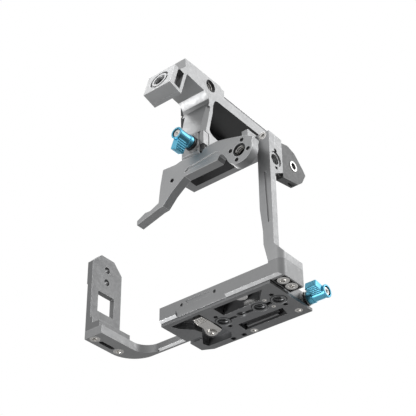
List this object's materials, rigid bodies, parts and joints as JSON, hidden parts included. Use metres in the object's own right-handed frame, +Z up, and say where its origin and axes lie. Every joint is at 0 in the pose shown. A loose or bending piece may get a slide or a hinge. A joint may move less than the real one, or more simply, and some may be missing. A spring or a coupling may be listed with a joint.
{
  "type": "camera cage",
  "caption": "Camera cage with bottom plate, grip wing, side column, top frame and rail-mounted top handle, locked by two blue lever knobs.",
  "frame": {"origin": "axis of the main tripod thread, at the underside of the bottom plate", "axes": "+Z up from the bottom plate to the handle, +X towards the camera's port side (the side column), +Y towards the camera's back"},
  "size_m": [0.1586, 0.1187, 0.1835],
  "materials": {
    "dark_anodised": "dark anodised satin",
    "grey_anodised": "grey anodised satin",
    "light_anodised": "light grey anodised satin",
    "black_anodised": "black anodised satin",
    "stainless": "machined stainless",
    "black_steel": "black oxide",
    "rubber": "matte",
    "blue_anodised": "bright blue anodised",
    "nylon": "matte black",
    "magnet": "nickel plated"
  },
  "bodies": {
    "cage": {"bottom_plate": "dark_anodised", "tripod_inserts": "dark_anodised", "base_frame": "grey_anodised", "plate_screws": "stainless", "foot_screws": "stainless", "base_pad": "rubber", "locating_dowel": "stainless", "latch_pivot": "stainless", "latch_spring": "stainless", "hex_key": "black_steel", "key_magnets": "magnet", "side_collar": "light_anodised", "side_washers": "stainless", "side_ring": "nylon", "grip_wing": "grey_anodised", "wing_screws": "stainless", "grip_plate": "grey_anodised", "grip_plate_screws": "stainless", "port_side_column": "grey_anodised", "column_top_screw": "stainless", "side_wing": "grey_anodised", "side_wing_screws": "stainless", "side_wing_insert": "stainless", "top_frame": "grey_anodised", "front_insert": "black_steel", "top_pads": "rubber", "top_rail": "black_anodised", "rail_screws": "stainless"},
    "latch": {"latch_lever": "stainless"},
    "side_knob": {"side_lever": "blue_anodised", "side_stud": "stainless", "side_lever_screw": "stainless"},
    "captive_screw": {"camera_screw": "stainless", "camera_screw_clip": "stainless"},
    "top_handle": {"handle_body": "light_anodised", "handle_insert": "black_steel", "handle_rail": "black_anodised", "handle_rail_screws": "stainless", "side_cover": "black_anodised", "side_cover_screws": "stainless", "front_mount": "light_anodised", "front_mount_screws": "stainless", "clamp_spring": "stainless", "safety_spring": "stainless"},
    "jaw": {"clamp_jaw": "light_anodised", "clamp_collar": "light_anodised", "clamp_washers": "stainless", "clamp_ring": "nylon"},
    "clamp_knob": {"clamp_lever": "blue_anodised", "clamp_stud": "stainless", "clamp_lever_screw": "stainless"},
    "pin": {"safety_pin": "stainless"}
  },
  "joints": [
    {"name": "latch_turn", "type": "hinge", "parent": "cage", "child": "latch", "pos_m": [-0.0162, 0.0084, 0.0028], "axis": [0, 0, 1], "range_deg": [-8, 0], "stiffness_Nm_per_rad": 0.05, "springref_deg": 5.73},
    {"name": "side_knob_turn", "type": "hinge", "parent": "cage", "child": "side_knob", "pos_m": [0.0553, 0.022, 0.0078], "axis": [1, 0, 0], "range_deg": [-150, 0]},
    {"name": "camera_screw_turn", "type": "hinge", "parent": "cage", "child": "captive_screw", "pos_m": [0.024, -0.0119, 0.008], "axis": [0, 0, 1], "continuous": true},
    {"name": "handle_slide", "type": "slide", "parent": "cage", "child": "top_handle", "axis": [1, 0, 0], "range_m": [-0.002, 0.0046]},
    {"name": "jaw_slide", "type": "slide", "parent": "top_handle", "child": "jaw", "axis": [0, -1, 0], "range_m": [0, 0.000355]},
    {"name": "clamp_turn", "type": "hinge", "parent": "jaw", "child": "clamp_knob", "pos_m": [0.0053, -0.041, 0.1215], "axis": [0, 1, 0], "range_deg": [-160, 0]},
    {"name": "pin_slide", "type": "slide", "parent": "top_handle", "child": "pin", "axis": [0, 0, 1], "range_m": [0, 0.0018], "stiffness_N_per_m": 250, "springref_m": -0.002, "deforming": ["safety_spring"]}
  ],
  "couplings": [
    {"joint": "clamp_turn", "follows": "jaw_slide", "rad_per_m": -7854}
  ]
}
